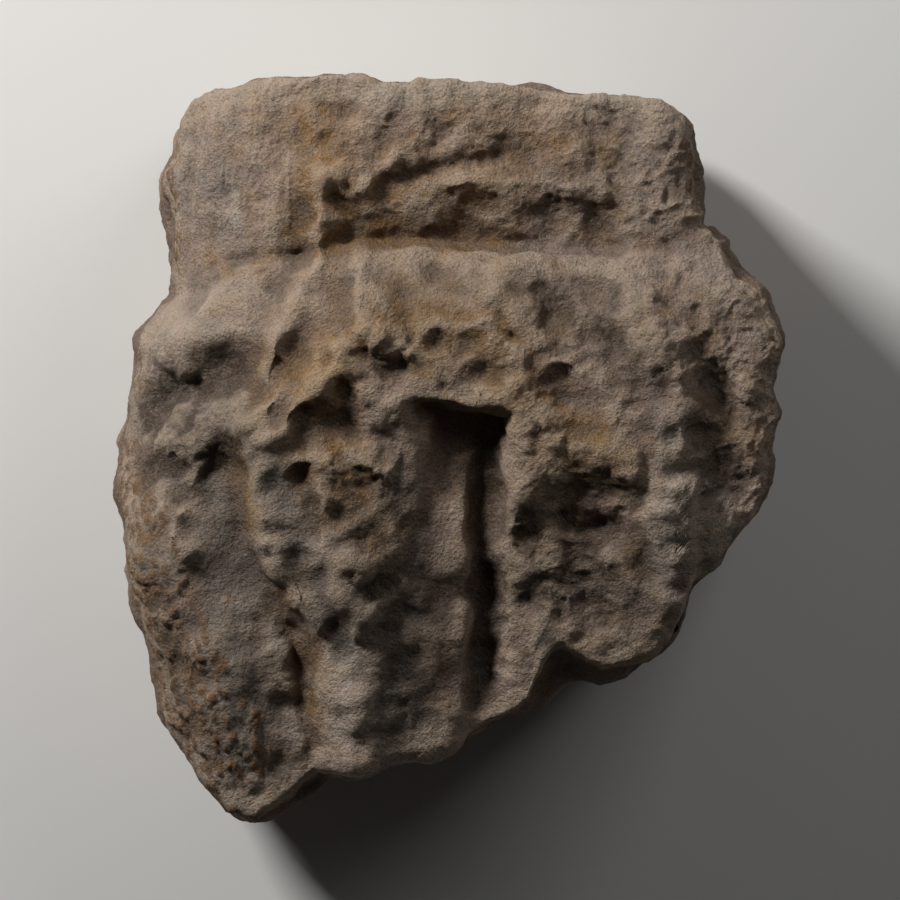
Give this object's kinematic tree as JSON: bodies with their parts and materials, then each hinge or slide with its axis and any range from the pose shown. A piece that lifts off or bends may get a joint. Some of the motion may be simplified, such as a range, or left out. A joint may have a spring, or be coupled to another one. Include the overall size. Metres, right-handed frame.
{
  "type": "stone column section",
  "caption": "Broken section of a carved limestone column: a plain band over a swelling body with worn lobes and sunk channels, lying on its flat back.",
  "frame": {"origin": "on the resting plane under the middle of the stone's box", "axes": "+Y along the column's axis, from the break to the plain band; +Z out of the carved face; +X to the right as one faces the carving with the band on top"},
  "size_m": [0.2745, 0.3006, 0.1682],
  "materials": {
    "limestone": "weathered, granular, matt"
  },
  "bodies": {
    "root": {"column_section": "limestone"}
  },
  "joints": []
}
